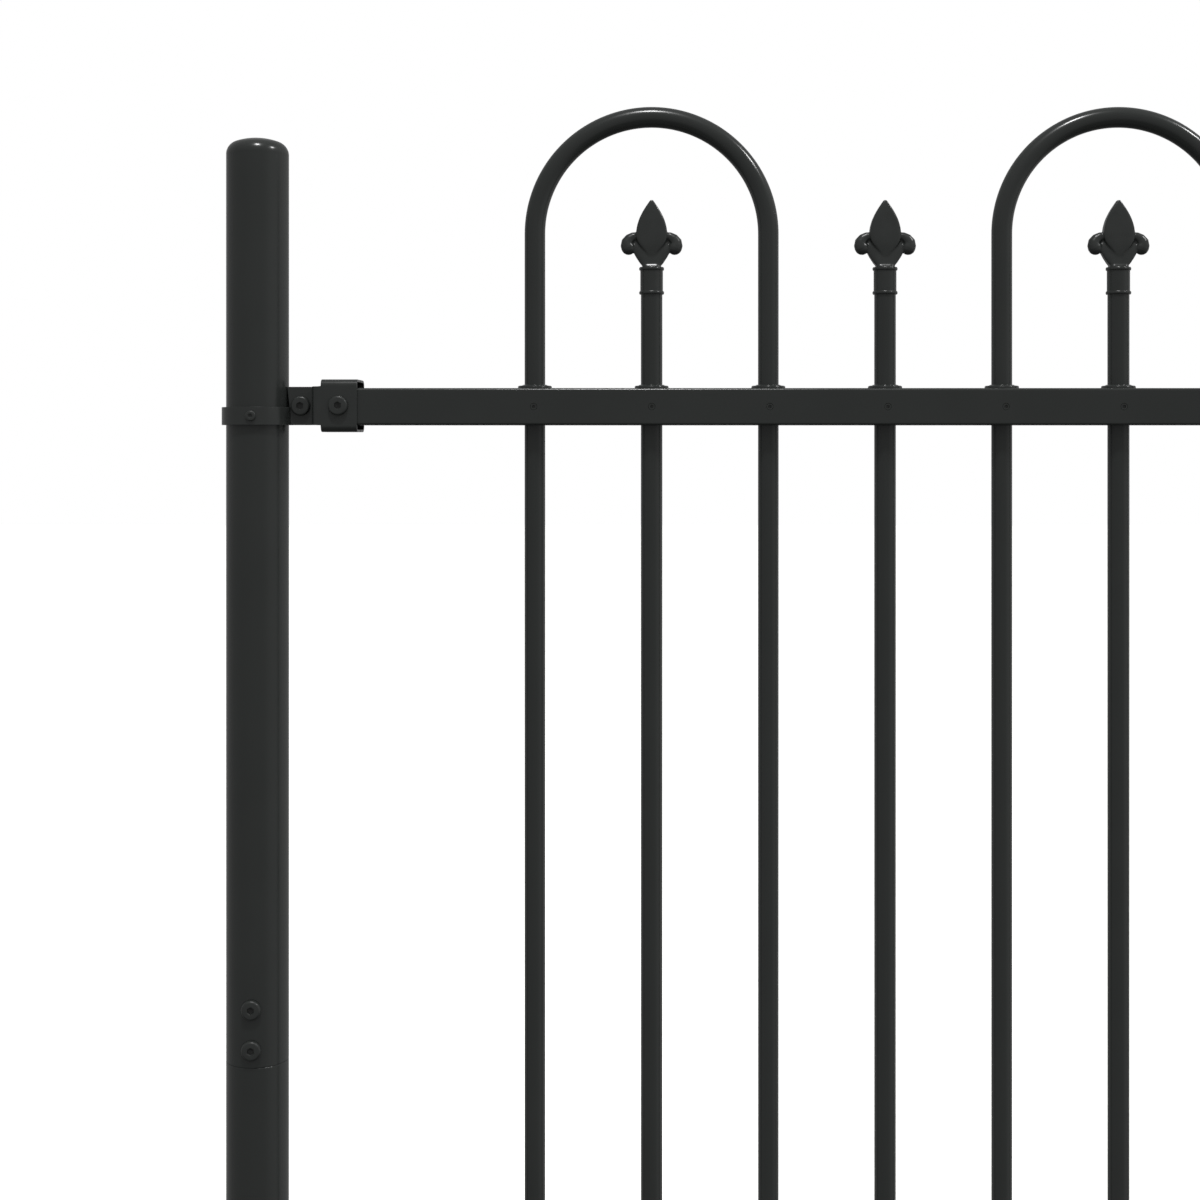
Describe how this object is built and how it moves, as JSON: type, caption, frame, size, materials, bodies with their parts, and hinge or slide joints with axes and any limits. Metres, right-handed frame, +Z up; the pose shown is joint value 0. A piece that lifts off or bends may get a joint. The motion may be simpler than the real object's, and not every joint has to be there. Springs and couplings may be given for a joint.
{
  "type": "garden fence bay",
  "caption": "Steel garden fence bay with hoop tops, spear pickets with cast finials, two rails, round posts on base plates and swivelling strap clamps.",
  "frame": {"origin": "on the ground, midway between the two posts", "axes": "+X along the bay from the left post to the right, -Y towards the front, +Z up"},
  "size_m": [1.85, 0.15, 1.2244],
  "materials": {
    "coated_tube": "satin black powder coat on steel tube",
    "clamp_sheet": "satin black powder coat on pressed steel",
    "cast_finials": "satin black powder coat on cast iron",
    "fasteners": "black coated steel",
    "moulded_plastic": "fine-textured black moulded plastic"
  },
  "bodies": {
    "left_post": {"left_upper_tube": "coated_tube", "left_lower_tube": "coated_tube", "left_post_cap": "moulded_plastic", "left_splice_screws": "fasteners", "left_base_plate": "coated_tube"},
    "panel": {"top_rail": "coated_tube", "bottom_rail": "coated_tube", "top_bushes": "moulded_plastic", "bottom_bushes": "moulded_plastic", "top_picket_screws": "fasteners", "bottom_picket_screws": "fasteners", "hoop_1": "coated_tube", "hoop_2": "coated_tube", "hoop_3": "coated_tube", "hoop_4": "coated_tube", "picket_1": "coated_tube", "picket_2": "coated_tube", "picket_3": "coated_tube", "picket_4": "coated_tube", "picket_5": "coated_tube", "picket_6": "coated_tube", "picket_7": "coated_tube", "finial_1": "cast_finials", "finial_2": "cast_finials", "finial_3": "cast_finials", "finial_4": "cast_finials", "finial_5": "cast_finials", "finial_6": "cast_finials", "finial_7": "cast_finials", "left_top_strap": "clamp_sheet", "left_top_front_clip": "clamp_sheet", "left_top_back_clip": "clamp_sheet", "left_top_bolts": "fasteners", "left_top_nuts": "fasteners", "left_top_lock_screw": "fasteners", "left_bottom_strap": "clamp_sheet", "left_bottom_front_clip": "clamp_sheet", "left_bottom_back_clip": "clamp_sheet", "left_bottom_bolts": "fasteners", "left_bottom_nuts": "fasteners", "left_bottom_lock_screw": "fasteners", "right_top_strap": "clamp_sheet", "right_top_front_clip": "clamp_sheet", "right_top_back_clip": "clamp_sheet", "right_top_bolts": "fasteners", "right_top_nuts": "fasteners", "right_top_lock_screw": "fasteners", "right_bottom_strap": "clamp_sheet", "right_bottom_front_clip": "clamp_sheet", "right_bottom_back_clip": "clamp_sheet", "right_bottom_bolts": "fasteners", "right_bottom_nuts": "fasteners", "right_bottom_lock_screw": "fasteners"},
    "right_post": {"right_upper_tube": "coated_tube", "right_lower_tube": "coated_tube", "right_post_cap": "moulded_plastic", "right_splice_screws": "fasteners", "right_base_plate": "coated_tube"}
  },
  "joints": [
    {"name": "left_swivel", "type": "hinge", "parent": "left_post", "child": "panel", "pos_m": [-0.85, 0, 0.6], "axis": [0, 0, 1], "range_deg": [-90, 90]},
    {"name": "right_swivel", "type": "hinge", "parent": "panel", "child": "right_post", "pos_m": [0.85, 0, 0.6], "axis": [0, 0, 1], "range_deg": [-90, 90]}
  ]
}
